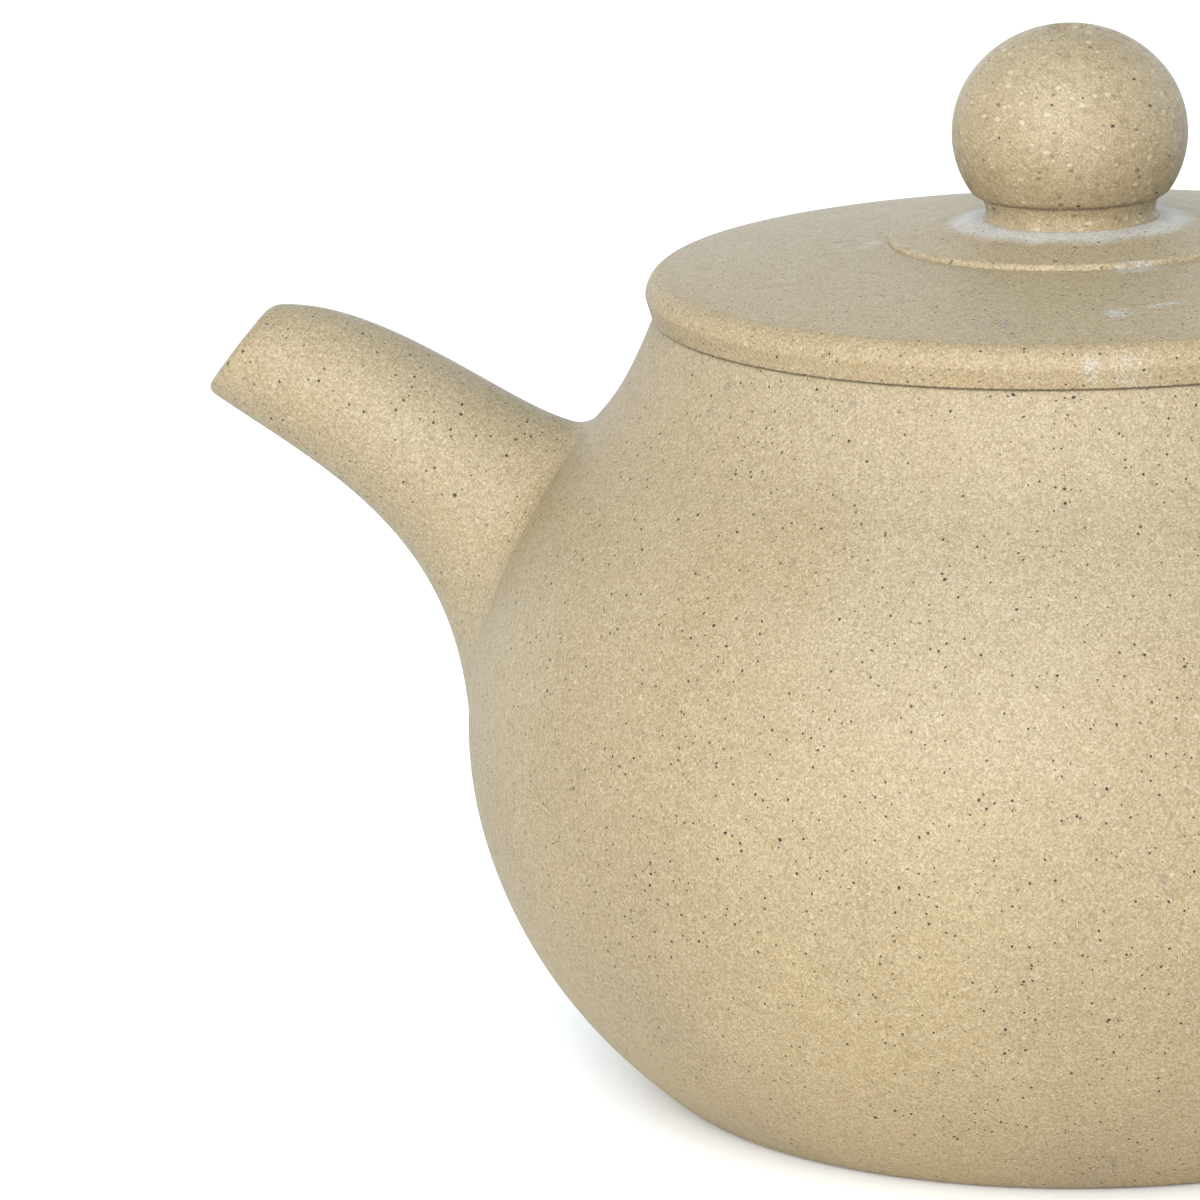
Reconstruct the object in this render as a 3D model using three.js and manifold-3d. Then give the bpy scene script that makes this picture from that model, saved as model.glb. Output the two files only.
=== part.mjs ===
// A small unglazed stoneware teapot of speckled sand-coloured clay, hand built from slabs luted together.
// Sizes are in millimetres. +Z is up, the pot stands on z = 0 about the Z axis, and the spout points along -X.
import * as THREE from "three";
import { mergeVertices } from "three/addons/utils/BufferGeometryUtils.js";
import Module from "manifold-3d";

const wasm = await Module();
wasm.setup();

// Body: heights are steps up from the table, radii are of the outside
const BASE_RADIUS = 31.1;
const BELLY_RADIUS = 45;
const BELLY_HEIGHT = 26.6;
const SHOULDER_RISE = 21.9;
const SHOULDER_RADIUS = 35.75;
const NECK_RISE = 8.95;
const NECK_RADIUS = 30.42;
const NECK_LOW_PULL = 2.2;
const NECK_HIGH_PULL = 5.3;
const NECK_TOP_SLOPE = 0.42;
const WALL = 2.8;
const MOUTH_RING_HEIGHT = 2.8;
const MOUTH_LEDGE = 4.02;

// Base slab: it rests on a flat band round a shallow hollow
const BASE_THICKNESS = 3.4;
const REST_BAND = 4.2;
const HOLLOW_DEPTH = 1.3;
const HOLLOW_SLOPE = 3;

// Lid, lifted by its knob, with a vent from the knob's top to the inside
const LID_OVERHANG = 0.66;
const LID_RIM_LOW = 1.4;
const LID_RIM_HIGH = 1.75;
const LID_RIM_ROUND = 1.5;
const LID_UNDERCUT = 0.43;
const LID_CROWN = 1.85;
const LID_SLAB = 3.0;
const FLANGE_CLEARANCE = 0.4;
const FLANGE_DEPTH = 6.6;
const FLANGE_WALL = 2.1;
const FLANGE_CHAMFER = 0.7;
const PAD_RADIUS = 13.2;
const PAD_EDGE = 0.5;
const PAD_CROWN = 1.0;
const COLLAR_RADIUS = 6.2;
const COLLAR_HEIGHT = 1.65;
const COLLAR_WAIST = 0.1;
const COLLAR_FLARE = 0.25;
const KNOB_RADIUS = 8.55;
const KNOB_HALF_HEIGHT = 7.88;
const KNOB_SUNK = 3.33;
const VENT_RADIUS = 1.0;
const VENT_FLARE = 0.45;

// Spout: its upper outline sweeps from the lip to the shoulder, its lower one from the throat to the belly
const SPOUT_LENGTH = 19.5;
const LIP_DROP = 0.2;
const LIP_SETBACK = 4.86;
const LIP_CUT = 6.15;
const LIP_SWEEP = 8.5;
const CREST_LIFT = 0.9;
const SHOULDER_SWEEP = 5.5;
const SADDLE_DROP = 0.3;
const SADDLE_LIFT = 0.75;
const THROAT_SWEEP = 8.6;
const THROAT_DROP = 5.95;
const BREAST_OUT = 1.0;
const BREAST_RISE = 14.2;
const ROOT_STANDOFF = 0.4;
const SPOUT_WALL = 2.0;
const LIP_WALL = 1.5;
const SPOUT_ROOT_DEPTH = 3;
const ROOT_FLATTENING = 0.8;
const LUTE_GAP = 0.3;

// Port through the wall, and the ball strainer over it
const PORT_RADIUS = 6.2;
const PORT_BLEND = 0.06;
const STRAINER_MARGIN = 2.0;
const STRAINER_WALL = 1.5;
const STRAINER_HOLE = 1.0;

// Handle: it reaches as far from the axis as the spout
const HANDLE_TOP_DROP = 2.4;
const HANDLE_FOOT_DROP = 10;
const HANDLE_RISE = 6.2;
const HANDLE_THICKNESS = 6.6;
const HANDLE_WIDTH = 7.8;
const HANDLE_TAPER = 0.84;
const HANDLE_FLARE = 0.32;
const HANDLE_ROOT_DEPTH = 4;
const HANDLE_ROOT_DROP = 3;
const HANDLE_TOP_SWEEP = 7;
const HANDLE_BROW = 9.2;
const HANDLE_WIDEST_DROP = 5.5;
const HANDLE_BACK_PULL = 11;
const HANDLE_FOOT_SWEEP = 9;
const HANDLE_FOOT_LIFT = 8.5;

// Fineness of the round forms
const TURNED_SIDES = 64;
const KNOB_SIDES = 40;
const SPOUT_SIDES = 24;
const SPOUT_STEPS = 14;
const HANDLE_SIDES = 18;
const HANDLE_STEPS = 26;
const HOLE_SIDES = 6;

// Heights and radii that follow from the driving dimensions
const shoulderHeight = BELLY_HEIGHT + SHOULDER_RISE;
const seatHeight = shoulderHeight + NECK_RISE;
const ringFoot = seatHeight - MOUTH_RING_HEIGHT;
const saddleHeight = shoulderHeight - SADDLE_DROP;
const mouthRadius = NECK_RADIUS - MOUTH_LEDGE;
const lidRadius = NECK_RADIUS + LID_OVERHANG;
const rimTop = seatHeight + LID_RIM_LOW + LID_RIM_HIGH;
const padSeat = rimTop + LID_CROWN;
const collarSeat = padSeat + PAD_EDGE + PAD_CROWN;
const knobSeat = collarSeat + COLLAR_HEIGHT;
const reach = BELLY_RADIUS + SPOUT_LENGTH;

const clay = {
  body: new THREE.MeshStandardMaterial({ color: 0xc9b794, roughness: 0.78, metalness: 0 }),
  lid: new THREE.MeshStandardMaterial({ color: 0xc2b08d, roughness: 0.76, metalness: 0 }),
  knob: new THREE.MeshStandardMaterial({ color: 0xbfab86, roughness: 0.74, metalness: 0 }),
};

const point = (r, z) => new THREE.Vector2(r, z);

// The body's outside: an ellipse below the belly, another above it, and a hollow curve up the neck
const lowerHalfHeight = BELLY_HEIGHT / Math.sqrt(1 - (BASE_RADIUS / BELLY_RADIUS) ** 2);
const upperHalfHeight = SHOULDER_RISE / Math.sqrt(1 - (SHOULDER_RADIUS / BELLY_RADIUS) ** 2);
const shoulderSlope = (BELLY_RADIUS ** 2 * SHOULDER_RISE) / (upperHalfHeight ** 2 * SHOULDER_RADIUS);
const neck = new THREE.CubicBezierCurve(
  point(SHOULDER_RADIUS, shoulderHeight),
  point(SHOULDER_RADIUS - shoulderSlope * NECK_LOW_PULL, shoulderHeight + NECK_LOW_PULL),
  point(NECK_RADIUS + NECK_TOP_SLOPE * NECK_HIGH_PULL, seatHeight - NECK_HIGH_PULL),
  point(NECK_RADIUS, seatHeight),
);

function neckRadius(z) {
  let low = 0;
  let high = 1;
  for (let i = 0; i < 40; i++) {
    const middle = (low + high) / 2;
    if (neck.getPoint(middle).y < z) low = middle;
    else high = middle;
  }
  return neck.getPoint((low + high) / 2).x;
}

function bodyRadius(z) {
  if (z > shoulderHeight) return neckRadius(z);
  const half = z < BELLY_HEIGHT ? lowerHalfHeight : upperHalfHeight;
  return BELLY_RADIUS * Math.sqrt(1 - ((z - BELLY_HEIGHT) / half) ** 2);
}

function bodySlope(z) {
  const step = 0.01;
  return (bodyRadius(z + step) - bodyRadius(z - step)) / (2 * step);
}

const innerRadius = (z) => bodyRadius(z) - WALL * Math.hypot(1, bodySlope(z));

// Points at even heights along a radius function, pushed out along the surface's normal where asked
function outline(radiusAt, from, to, steps, push = 0) {
  const points = [];
  for (let i = 0; i <= steps; i++) {
    const z = from + ((to - from) * i) / steps;
    const slope = push === 0 ? 0 : bodySlope(z);
    const length = Math.hypot(1, slope);
    points.push(point(radiusAt(z) + push / length, z - (push * slope) / length));
  }
  return points;
}

// A closed outline of radius and height turned about Z, with its faces pointing out
function turned(closedOutline, sides = TURNED_SIDES) {
  const loop = [...closedOutline, closedOutline[0]];
  let area = 0;
  for (let i = 0; i + 1 < loop.length; i++) area += loop[i].x * loop[i + 1].y - loop[i + 1].x * loop[i].y;
  if (area < 0) loop.reverse();
  return new THREE.LatheGeometry(loop, sides).rotateX(Math.PI / 2);
}

// Rings of equally many points joined into a closed skin with flat ends
function lofted(rings) {
  const sides = rings[0].length;
  const positions = rings.flat().flatMap((p) => [p.x, p.y, p.z]);
  const faces = [];
  for (let k = 0; k + 1 < rings.length; k++) {
    for (let i = 0; i < sides; i++) {
      const a = k * sides + i;
      const b = k * sides + ((i + 1) % sides);
      faces.push(a, b, b + sides, a, b + sides, a + sides);
    }
  }
  const last = (rings.length - 1) * sides;
  for (let i = 1; i + 1 < sides; i++) {
    faces.push(0, i + 1, i);
    faces.push(last, last + i, last + i + 1);
  }
  const geometry = new THREE.BufferGeometry();
  geometry.setAttribute("position", new THREE.Float32BufferAttribute(positions, 3));
  geometry.setIndex(faces);
  return geometry;
}

// A ring of points about a centre, in the plane of the Y axis and a direction in the XZ plane
function ringAbout(centre, direction, halfHeight, halfWidth, sides) {
  const ring = [];
  for (let i = 0; i < sides; i++) {
    const angle = (2 * Math.PI * i) / sides;
    const p = centre.clone().addScaledVector(direction, halfHeight * Math.cos(angle));
    p.y += halfWidth * Math.sin(angle);
    ring.push(p);
  }
  return ring;
}

// A closed three.js geometry as a solid for joining and cutting, and back again
function solid(geometry) {
  const bare = geometry.clone();
  bare.deleteAttribute("normal");
  bare.deleteAttribute("uv");
  const merged = mergeVertices(bare, 1e-4);
  const triVerts = new Uint32Array(merged.index.array);
  const made = new wasm.Manifold(
    new wasm.Mesh({ numProp: 3, vertProperties: merged.attributes.position.array, triVerts }),
  );
  if (made.volume() < 0) throw new Error("a solid is inside out");
  return made;
}

function geometryOf(made) {
  const mesh = made.getMesh();
  const geometry = new THREE.BufferGeometry();
  geometry.setAttribute("position", new THREE.BufferAttribute(mesh.vertProperties, 3));
  geometry.setIndex(new THREE.BufferAttribute(mesh.triVerts, 1));
  geometry.computeVertexNormals();
  return geometry;
}

// The body grown by the lute gap, which the spout and the handle are cut back to
function grownBody() {
  const top = seatHeight - MOUTH_RING_HEIGHT / 2;
  return solid(turned([point(0, 0), ...outline(bodyRadius, 0, top, 30, LUTE_GAP), point(0, top)]));
}

// The room inside the wall, less the lute gap, which the strainer is cut back to
function insideRoom() {
  const shrunk = (z) => innerRadius(z) - LUTE_GAP;
  const low = BASE_THICKNESS + LUTE_GAP;
  return solid(turned([point(0, low), ...outline(shrunk, low, shoulderHeight, 16), point(0, shoulderHeight)]));
}

// The spout's upper and lower outlines in its own plane, where x is the distance from the pot's axis
const spoutTop = new THREE.CubicBezierCurve(
  point(reach - LIP_SETBACK, seatHeight - LIP_DROP),
  point(reach - LIP_SETBACK - LIP_SWEEP, seatHeight - LIP_DROP + CREST_LIFT),
  point(SHOULDER_RADIUS + ROOT_STANDOFF + SHOULDER_SWEEP, saddleHeight + SADDLE_LIFT),
  point(SHOULDER_RADIUS + ROOT_STANDOFF, saddleHeight),
);
const spoutBottom = new THREE.CubicBezierCurve(
  point(reach, seatHeight - LIP_DROP - LIP_CUT),
  point(reach - THROAT_SWEEP, seatHeight - LIP_DROP - LIP_CUT - THROAT_DROP),
  point(BELLY_RADIUS + ROOT_STANDOFF + BREAST_OUT, BELLY_HEIGHT + BREAST_RISE),
  point(BELLY_RADIUS + ROOT_STANDOFF, BELLY_HEIGHT),
);

// The two ends of the section at a place along the spout: 0 is the lip, 1 the wall, and beyond 1 lies inside it
function spoutSection(t) {
  const depth = Math.max(0, t - 1) * SPOUT_ROOT_DEPTH;
  const top = spoutTop.getPoint(Math.min(t, 1));
  const bottom = spoutBottom.getPoint(Math.min(t, 1));
  top.x -= depth;
  bottom.x -= depth;
  return [top, bottom];
}

function spoutMiddle(t) {
  const [top, bottom] = spoutSection(t);
  return new THREE.Vector3(-(top.x + bottom.x) / 2, 0, (top.y + bottom.y) / 2);
}

function spoutAcross(t) {
  const [top, bottom] = spoutSection(t);
  return new THREE.Vector3(bottom.x - top.x, 0, top.y - bottom.y).normalize();
}

function spoutRing(t, thinning) {
  const [top, bottom] = spoutSection(t);
  const half = top.distanceTo(bottom) / 2 - thinning;
  const rootShare = THREE.MathUtils.smoothstep(t, 0.5, 1);
  const width = half * (1 - (1 - ROOT_FLATTENING) * rootShare);
  return ringAbout(spoutMiddle(t), spoutAcross(t), half, width, SPOUT_SIDES);
}

// Where the spout's middle line runs into the body, and its direction there
function wallCrossing() {
  let low = 0;
  let high = 1;
  for (let i = 0; i < 40; i++) {
    const middle = (low + high) / 2;
    const place = spoutMiddle(middle);
    if (Math.abs(place.x) > bodyRadius(place.z)) low = middle;
    else high = middle;
  }
  return low;
}
const crossing = wallCrossing();
const portCentre = spoutMiddle(crossing);
const portAcross = spoutAcross(crossing);
const portAlong = new THREE.Vector3(portAcross.z, 0, -portAcross.x);

// The pouring channel: it follows the spout's middle line and ends in the round port through the wall
function spoutBore() {
  const mouth = spoutMiddle(0).sub(spoutMiddle(0.05)).normalize();
  const rings = [spoutRing(0, LIP_WALL).map((p) => p.addScaledVector(mouth, LIP_CUT))];
  const steps = 10;
  const channelEnd = crossing - PORT_BLEND;
  for (let i = 0; i <= steps; i++) {
    const t = (channelEnd * i) / steps;
    rings.push(spoutRing(t, THREE.MathUtils.lerp(LIP_WALL, SPOUT_WALL, Math.min(1, t * 3))));
  }
  for (const beyond of [0, WALL * 3]) {
    const centre = portCentre.clone().addScaledVector(portAlong, beyond);
    rings.push(ringAbout(centre, portAcross, PORT_RADIUS, PORT_RADIUS, SPOUT_SIDES));
  }
  return solid(lofted(rings.reverse()));
}

function spout() {
  const rings = [];
  for (let i = 0; i <= SPOUT_STEPS; i++) rings.push(spoutRing(i / SPOUT_STEPS, 0));
  rings.push(spoutRing(2, 0));
  return geometryOf(solid(lofted(rings.reverse())).subtract(spoutBore()).subtract(grownBody()));
}

// Slabs of the body, from the table up
function baseDisc() {
  const bandInside = BASE_RADIUS - REST_BAND;
  return turned([
    point(0, HOLLOW_DEPTH),
    point(bandInside - HOLLOW_SLOPE, HOLLOW_DEPTH),
    point(bandInside, 0),
    ...outline(bodyRadius, 0, BASE_THICKNESS, 2),
    point(0, BASE_THICKNESS),
  ]);
}

function wallBetween(from, to, outerSteps, innerSteps) {
  return turned([
    ...outline(bodyRadius, from, to, outerSteps),
    ...outline(innerRadius, from, to, innerSteps).reverse(),
  ]);
}

function bellyWall() {
  return geometryOf(solid(wallBetween(BASE_THICKNESS, shoulderHeight, 14, 8)).subtract(spoutBore()));
}

const shoulderDisc = () => wallBetween(shoulderHeight, ringFoot, 4, 3);

function mouthRing() {
  return turned([
    ...outline(bodyRadius, ringFoot, seatHeight, 2),
    point(mouthRadius, seatHeight),
    point(mouthRadius, ringFoot),
  ]);
}

// A domed ball strainer luted over the port inside the pot
function strainerBall() {
  const radius = PORT_RADIUS + STRAINER_MARGIN;
  const centre = portCentre.clone().addScaledVector(portAlong, WALL);
  const place = (geometry) => solid(geometry.translate(centre.x, centre.y, centre.z));
  const inner = place(new THREE.SphereGeometry(radius - STRAINER_WALL, 20, 12));
  let dome = place(new THREE.SphereGeometry(radius, 24, 14)).subtract(inner).intersect(insideRoom());
  for (const direction of strainerDirections()) {
    const hole = new THREE.CylinderGeometry(STRAINER_HOLE, STRAINER_HOLE, radius * 2, HOLE_SIDES);
    hole.translate(0, radius, 0);
    hole.applyQuaternion(new THREE.Quaternion().setFromUnitVectors(new THREE.Vector3(0, 1, 0), direction));
    dome = dome.subtract(place(hole));
  }
  return geometryOf(dome);
}

// One hole in the middle of the dome and two rings of holes round it
function strainerDirections() {
  const found = [new THREE.Vector3(1, 0, 0)];
  for (const { count, tilt } of [{ count: 6, tilt: 23 }, { count: 11, tilt: 45 }]) {
    const lean = THREE.MathUtils.degToRad(tilt);
    for (let i = 0; i < count; i++) {
      const turn = (2 * Math.PI * (i + 0.5)) / count;
      found.push(
        new THREE.Vector3(Math.cos(lean), Math.sin(lean) * Math.cos(turn), Math.sin(lean) * Math.sin(turn)),
      );
    }
  }
  const swing = new THREE.Quaternion().setFromUnitVectors(found[0].clone(), portAlong);
  return found.map((direction) => direction.applyQuaternion(swing));
}

// The ear handle, opposite the spout: one curve up and out from the shoulder, one back in to the lower belly
function handleLine() {
  const topJoint = shoulderHeight - HANDLE_TOP_DROP;
  const footJoint = BELLY_HEIGHT - HANDLE_FOOT_DROP;
  const start = new THREE.Vector3(bodyRadius(topJoint), 0, topJoint);
  const end = new THREE.Vector3(bodyRadius(footJoint), 0, footJoint);
  const widestReach = reach - (HANDLE_THICKNESS / 2) * ((1 + HANDLE_TAPER) / 2);
  const widest = new THREE.Vector3(widestReach, 0, topJoint - HANDLE_WIDEST_DROP);
  const tuck = new THREE.Vector3(-HANDLE_ROOT_DEPTH, 0, -HANDLE_ROOT_DROP);
  const line = new THREE.CurvePath();
  line.add(new THREE.LineCurve3(start.clone().add(tuck), start));
  line.add(
    new THREE.CubicBezierCurve3(
      start,
      new THREE.Vector3(start.x + HANDLE_TOP_SWEEP, 0, start.z + HANDLE_RISE),
      new THREE.Vector3(widest.x, 0, topJoint + HANDLE_BROW),
      widest,
    ),
  );
  line.add(
    new THREE.CubicBezierCurve3(
      widest,
      new THREE.Vector3(widest.x, 0, widest.z - HANDLE_BACK_PULL),
      new THREE.Vector3(end.x + HANDLE_FOOT_SWEEP, 0, end.z + HANDLE_FOOT_LIFT),
      end,
    ),
  );
  line.add(new THREE.LineCurve3(end, end.clone().add(tuck)));
  return line;
}

function handle() {
  const line = handleLine();
  const rings = [];
  for (let i = 0; i <= HANDLE_STEPS; i++) {
    const t = i / HANDLE_STEPS;
    const along = line.getTangent(t);
    const out = new THREE.Vector3(-along.z, 0, along.x);
    const flare = 1 - THREE.MathUtils.smoothstep(Math.min(t, 1 - t), 0.02, 0.2);
    const size = (1 - (1 - HANDLE_TAPER) * t) * (1 + HANDLE_FLARE * flare);
    const height = (HANDLE_THICKNESS / 2) * size;
    const width = (HANDLE_WIDTH / 2) * size;
    rings.push(ringAbout(line.getPoint(t), out, -height, width, HANDLE_SIDES));
  }
  return geometryOf(solid(lofted(rings)).subtract(grownBody()));
}

// Lid pieces, from the flange up to the knob
function lidFlange() {
  const outside = mouthRadius - FLANGE_CLEARANCE;
  const inside = outside - FLANGE_WALL;
  const foot = seatHeight - FLANGE_DEPTH;
  return turned([
    point(inside, seatHeight),
    point(inside, foot),
    point(outside - FLANGE_CHAMFER, foot),
    point(outside, foot + FLANGE_CHAMFER),
    point(outside, seatHeight),
  ]);
}

function lidDisc() {
  const edgeHeight = seatHeight + LID_RIM_LOW;
  const flangeInside = mouthRadius - FLANGE_CLEARANCE - FLANGE_WALL;
  const high = new THREE.EllipseCurve(
    lidRadius - LID_RIM_ROUND, edgeHeight, LID_RIM_ROUND, LID_RIM_HIGH, 0, Math.PI * 0.45,
  ).getPoints(4);
  const crown = new THREE.QuadraticBezierCurve(
    high[high.length - 1],
    point((lidRadius + PAD_RADIUS) / 2, rimTop + LID_CROWN * 0.72),
    point(PAD_RADIUS, padSeat),
  ).getPoints(3);
  return turned([
    point(VENT_RADIUS, padSeat - LID_SLAB),
    point(flangeInside, seatHeight),
    point(lidRadius - LID_UNDERCUT, seatHeight),
    ...high,
    ...crown.slice(1),
    point(VENT_RADIUS, padSeat),
  ]);
}

function lidPad() {
  const crown = new THREE.QuadraticBezierCurve(
    point(PAD_RADIUS - PAD_EDGE, padSeat + PAD_EDGE),
    point((PAD_RADIUS + COLLAR_RADIUS) / 2, collarSeat - PAD_CROWN * 0.35),
    point(COLLAR_RADIUS, collarSeat),
  ).getPoints(3);
  return turned([
    point(VENT_RADIUS, padSeat),
    point(PAD_RADIUS, padSeat),
    ...crown,
    point(VENT_RADIUS, collarSeat),
  ]);
}

const knobCentre = knobSeat + KNOB_HALF_HEIGHT - KNOB_SUNK;
const knobFootAngle = Math.asin((knobSeat - knobCentre) / KNOB_HALF_HEIGHT);

function knobCollar() {
  return turned(
    [
      point(VENT_RADIUS, collarSeat),
      point(COLLAR_RADIUS, collarSeat),
      point(COLLAR_RADIUS - COLLAR_WAIST, collarSeat + COLLAR_HEIGHT / 2),
      point(COLLAR_RADIUS + COLLAR_FLARE, knobSeat),
      point(VENT_RADIUS, knobSeat),
    ],
    KNOB_SIDES,
  );
}

function knobBall() {
  const end = Math.acos((VENT_RADIUS + VENT_FLARE) / KNOB_RADIUS);
  const skin = new THREE.EllipseCurve(0, knobCentre, KNOB_RADIUS, KNOB_HALF_HEIGHT, knobFootAngle, end);
  const ventTop = knobCentre + KNOB_HALF_HEIGHT * Math.sin(end) - VENT_FLARE;
  return turned([point(VENT_RADIUS, knobSeat), ...skin.getPoints(12), point(VENT_RADIUS, ventTop)], KNOB_SIDES);
}

function piece(name, geometry, material) {
  const mesh = new THREE.Mesh(geometry, material);
  mesh.name = name;
  return mesh;
}

const pot = new THREE.Group();
pot.add(
  piece("base_disc", baseDisc(), clay.body),
  piece("belly_wall", bellyWall(), clay.body),
  piece("shoulder_disc", shoulderDisc(), clay.body),
  piece("mouth_ring", mouthRing(), clay.body),
  piece("spout", spout(), clay.body),
  piece("strainer_ball", strainerBall(), clay.body),
  piece("handle", handle(), clay.body),
);

const lid = new THREE.Group();
lid.add(
  piece("lid_flange", lidFlange(), clay.lid),
  piece("lid_disc", lidDisc(), clay.lid),
  piece("lid_pad", lidPad(), clay.lid),
  piece("knob_collar", knobCollar(), clay.knob),
  piece("knob_ball", knobBall(), clay.knob),
);

const teapot = new THREE.Group();
teapot.add(pot, lid);
export default teapot;
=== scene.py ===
"""An unglazed clay teapot with a ball-knob lid, on a pale floor in soft studio light.

Outlines are in millimetres, as radius and height about the pot's axis, and become metres in the meshes.
The pot stands on z = 0 about the Z axis, and its spout points along -X.
"""
import math

import bmesh
import bpy
import numpy as np
from mathutils import Matrix, Vector


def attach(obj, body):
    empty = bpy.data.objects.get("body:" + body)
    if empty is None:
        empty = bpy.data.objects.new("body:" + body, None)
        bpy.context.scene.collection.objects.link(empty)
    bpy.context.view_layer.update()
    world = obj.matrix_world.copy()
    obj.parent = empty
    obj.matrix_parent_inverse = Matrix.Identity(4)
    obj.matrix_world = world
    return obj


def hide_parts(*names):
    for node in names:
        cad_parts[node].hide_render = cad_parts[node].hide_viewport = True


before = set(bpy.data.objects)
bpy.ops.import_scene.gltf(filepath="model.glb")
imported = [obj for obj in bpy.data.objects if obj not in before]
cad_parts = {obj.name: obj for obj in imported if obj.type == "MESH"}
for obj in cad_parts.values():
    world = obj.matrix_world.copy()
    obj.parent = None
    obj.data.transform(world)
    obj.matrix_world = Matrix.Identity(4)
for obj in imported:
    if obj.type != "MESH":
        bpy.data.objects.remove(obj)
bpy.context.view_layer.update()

MM = 0.001

# Body
BASE_RADIUS = 31.1
BELLY_RADIUS = 45.0
BELLY_HEIGHT = 26.6
SHOULDER_RISE = 21.9
SHOULDER_HEIGHT = BELLY_HEIGHT + SHOULDER_RISE
SHOULDER_RADIUS = 35.75
NECK_RISE = 8.95
SEAT_HEIGHT = SHOULDER_HEIGHT + NECK_RISE
NECK_RADIUS = 30.42
NECK_LOW_PULL = 2.2
NECK_HIGH_PULL = 5.3
NECK_TOP_SLOPE = 0.42
WALL = 2.8
MOUTH_LEDGE = 4.02
MOUTH_RADIUS = NECK_RADIUS - MOUTH_LEDGE
MOUTH_RING_HEIGHT = 2.8
RING_FOOT = SEAT_HEIGHT - MOUTH_RING_HEIGHT
BASE_THICKNESS = 3.4
REST_BAND = 4.2
HOLLOW_DEPTH = 1.3
HOLLOW_SLOPE = 3.0

# Lid and knob
LID_OVERHANG = 0.66
LID_RADIUS = NECK_RADIUS + LID_OVERHANG
LID_RIM_LOW = 1.4
LID_RIM_HIGH = 1.75
LID_RIM_ROUND = 1.5
LID_UNDERCUT = 0.43
RIM_TOP = SEAT_HEIGHT + LID_RIM_LOW + LID_RIM_HIGH
LID_CROWN = 1.85
# Two points that shape the lid's top: radius, and height over the rim
LID_CROWN_OUTER = (24.5, 0.84)
LID_CROWN_INNER = (19.0, 1.58)
PAD_SEAT = RIM_TOP + LID_CROWN
PAD_LAP = 0.06
PAD_RADIUS = 13.2
PAD_EDGE = 0.5
PAD_CROWN = 1.0
COLLAR_SEAT = PAD_SEAT + PAD_EDGE + PAD_CROWN
COLLAR_RADIUS = 6.2
COLLAR_FLARE = 0.25
COLLAR_HEIGHT = 1.65
KNOB_SEAT = COLLAR_SEAT + COLLAR_HEIGHT
KNOB_RADIUS = 8.55
KNOB_HALF_HEIGHT = 7.88
KNOB_SUNK = 3.33
KNOB_CENTRE = KNOB_SEAT + KNOB_HALF_HEIGHT - KNOB_SUNK
LID_SLAB = 3.0
FLANGE_CLEARANCE = 0.4
FLANGE_OUTSIDE = MOUTH_RADIUS - FLANGE_CLEARANCE
FLANGE_WALL = 2.1
FLANGE_DEPTH = 6.6
VENT_RADIUS = 1.0
VENT_FLARE = 0.45

# Spout, port and strainer
SPOUT_LENGTH = 19.5
REACH = BELLY_RADIUS + SPOUT_LENGTH
LIP_DROP = 0.2
LIP_HEIGHT = SEAT_HEIGHT - LIP_DROP
LIP_SETBACK = 4.86
LIP_CUT = 6.15
LIP_WALL = 1.5
LIP_ROUND = 0.8
LIP_SWEEP = 8.5
CREST_LIFT = 0.9
SHOULDER_SWEEP = 5.5
SADDLE_DROP = 0.3
SADDLE_HEIGHT = SHOULDER_HEIGHT - SADDLE_DROP
SADDLE_LIFT = 0.75
THROAT_SWEEP = 8.6
THROAT_DROP = 5.95
BREAST_OUT = 1.0
BREAST_RISE = 14.2
ROOT_STANDOFF = 0.4
ROOT_FLATTENING = 0.8
ROOT_DEPTH = 3.0
UPPER_FILLET = 1.1
LOWER_FILLET = 3.7
SPOUT_WALL = 2.0
PORT_RADIUS = 6.2
PORT_PLAY = 0.08
PORT_BLEND = 0.05
STRAINER_RADIUS = PORT_RADIUS + 2.0
STRAINER_WALL = 1.5
STRAINER_HOLE = 1.0
STRAINER_SINK = 1.3
# The rings of holes round the middle one: how many holes, and their lean in degrees
STRAINER_RINGS = ((6, 23), (11, 45))

# Handle
HANDLE_TOP_DROP = 2.4
HANDLE_TOP_JOINT = SHOULDER_HEIGHT - HANDLE_TOP_DROP
HANDLE_FOOT_DROP = 10
HANDLE_FOOT_JOINT = BELLY_HEIGHT - HANDLE_FOOT_DROP
HANDLE_RISE = 6.2
HANDLE_THICKNESS = 6.6
HANDLE_WIDTH = 7.8
HANDLE_TAPER = 0.84
HANDLE_FLARE = 0.32
HANDLE_FILLET = 1.8
# How far the handle's ends run on into the wall, inwards and down
HANDLE_TUCK = (4.0, 3.0)
HANDLE_TOP_SWEEP = 7
HANDLE_BROW = 9.2
HANDLE_WIDEST_DROP = 5.5
HANDLE_BACK_PULL = 11
HANDLE_FOOT_SWEEP = 9
HANDLE_FOOT_LIFT = 8.5

TURNED_SIDES = 288


def bezier(points, count):
    """Points along a cubic Bezier curve, both ends included."""
    t = np.linspace(0, 1, count)[:, None]
    a, b, c, d = (np.array(p, float) for p in points)
    return (1 - t) ** 3 * a + 3 * (1 - t) ** 2 * t * b + 3 * (1 - t) * t**2 * c + t**3 * d


def ellipse_arc(centre, radii, start, end, count):
    """Points along part of an ellipse, by angle in degrees."""
    angle = np.radians(np.linspace(start, end, count))
    return np.column_stack([centre[0] + radii[0] * np.cos(angle), centre[1] + radii[1] * np.sin(angle)])


def smoothstep(low, high, value):
    t = np.clip((value - low) / (high - low), 0, 1)
    return t * t * (3 - 2 * t)


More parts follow.
